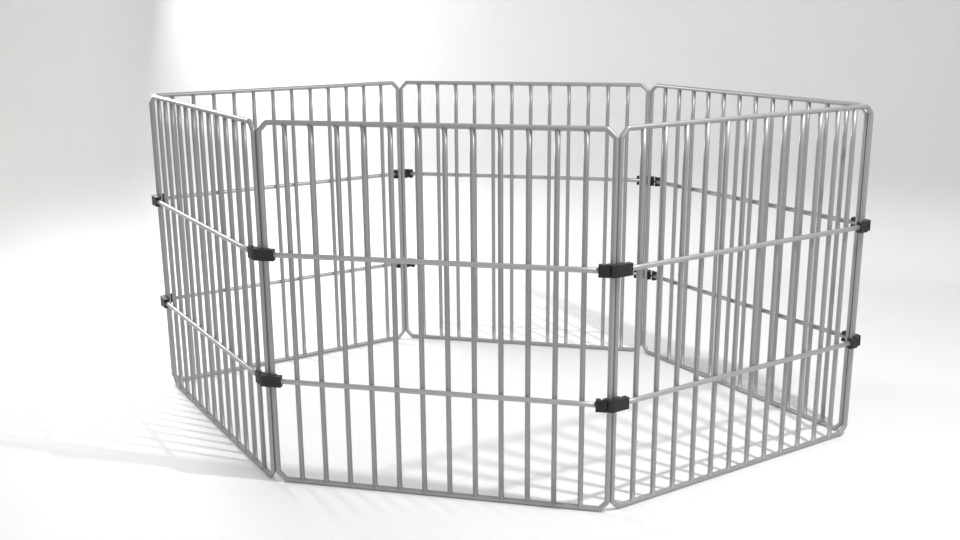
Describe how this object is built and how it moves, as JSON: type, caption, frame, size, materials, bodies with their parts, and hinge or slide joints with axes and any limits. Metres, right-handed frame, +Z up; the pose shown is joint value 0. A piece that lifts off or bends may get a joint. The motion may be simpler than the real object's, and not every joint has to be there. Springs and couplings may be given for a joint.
{
  "type": "calf pen",
  "caption": "Free-standing ring of barred steel panels, joined at its corners by plastic hinge clips that turn on the uprights, to pen a calf.",
  "frame": {"origin": "on the floor, at the middle of the ring", "axes": "+Z up, +X along the ring's long way, to the right as seen from in front of the front panel, whose outside faces -Y"},
  "size_m": [2.2806, 1.3556, 1],
  "materials": {
    "frame_steel": "satin grey coating",
    "bar_steel": "satin grey coating",
    "cross_bar_steel": "satin grey coating",
    "hinge_plastic": "matte moulded black",
    "keeper_plastic": "matte moulded black"
  },
  "bodies": {
    "front": {"front_frame": "frame_steel", "front_bars": "bar_steel", "front_upper_cross_bar": "cross_bar_steel", "front_lower_cross_bar": "cross_bar_steel", "front_upper_hinge_clip": "hinge_plastic", "front_lower_hinge_clip": "hinge_plastic", "front_upper_keeper": "keeper_plastic", "front_lower_keeper": "keeper_plastic"},
    "right": {"right_frame": "frame_steel", "right_bars": "bar_steel", "right_upper_cross_bar": "cross_bar_steel", "right_lower_cross_bar": "cross_bar_steel", "right_upper_hinge_clip": "hinge_plastic", "right_lower_hinge_clip": "hinge_plastic", "right_upper_keeper": "keeper_plastic", "right_lower_keeper": "keeper_plastic"},
    "back_right": {"back_right_frame": "frame_steel", "back_right_bars": "bar_steel", "back_right_upper_cross_bar": "cross_bar_steel", "back_right_lower_cross_bar": "cross_bar_steel", "back_right_upper_hinge_clip": "hinge_plastic", "back_right_lower_hinge_clip": "hinge_plastic", "back_right_upper_keeper": "keeper_plastic", "back_right_lower_keeper": "keeper_plastic"},
    "back": {"back_frame": "frame_steel", "back_bars": "bar_steel", "back_upper_cross_bar": "cross_bar_steel", "back_lower_cross_bar": "cross_bar_steel", "back_upper_hinge_clip": "hinge_plastic", "back_lower_hinge_clip": "hinge_plastic", "back_upper_keeper": "keeper_plastic", "back_lower_keeper": "keeper_plastic"},
    "back_left": {"back_left_frame": "frame_steel", "back_left_bars": "bar_steel", "back_left_upper_cross_bar": "cross_bar_steel", "back_left_lower_cross_bar": "cross_bar_steel", "back_left_upper_hinge_clip": "hinge_plastic", "back_left_lower_hinge_clip": "hinge_plastic", "back_left_upper_keeper": "keeper_plastic", "back_left_lower_keeper": "keeper_plastic"},
    "left": {"left_frame": "frame_steel", "left_bars": "bar_steel", "left_upper_cross_bar": "cross_bar_steel", "left_lower_cross_bar": "cross_bar_steel", "left_upper_hinge_clip": "hinge_plastic", "left_lower_hinge_clip": "hinge_plastic", "left_upper_keeper": "keeper_plastic", "left_lower_keeper": "keeper_plastic"}
  },
  "joints": [
    {"name": "right_hinge", "type": "hinge", "parent": "front", "child": "right", "pos_m": [0.4625, -0.65407, 0.5], "axis": [0, 0, 1], "range_deg": [-12, 45]},
    {"name": "back_right_hinge", "type": "hinge", "parent": "right", "child": "back_right", "pos_m": [1.11657, 0, 0.5], "axis": [0, 0, 1], "range_deg": [-90, 24]},
    {"name": "back_hinge", "type": "hinge", "parent": "back_right", "child": "back", "pos_m": [0.4625, 0.65407, 0.5], "axis": [0, 0, 1], "range_deg": [-12, 45]},
    {"name": "left_hinge", "type": "hinge", "parent": "front", "child": "left", "pos_m": [-0.4625, -0.65407, 0.5], "axis": [0, 0, 1], "range_deg": [-45, 12]},
    {"name": "back_left_hinge", "type": "hinge", "parent": "left", "child": "back_left", "pos_m": [-1.11657, 0, 0.5], "axis": [0, 0, 1], "range_deg": [-24, 90]}
  ],
  "couplings": [
    {"joint": "back_right_hinge", "follows": "right_hinge", "ratio": -2},
    {"joint": "back_hinge", "follows": "right_hinge", "ratio": 1},
    {"joint": "left_hinge", "follows": "right_hinge", "ratio": -1},
    {"joint": "back_left_hinge", "follows": "right_hinge", "ratio": 2}
  ]
}
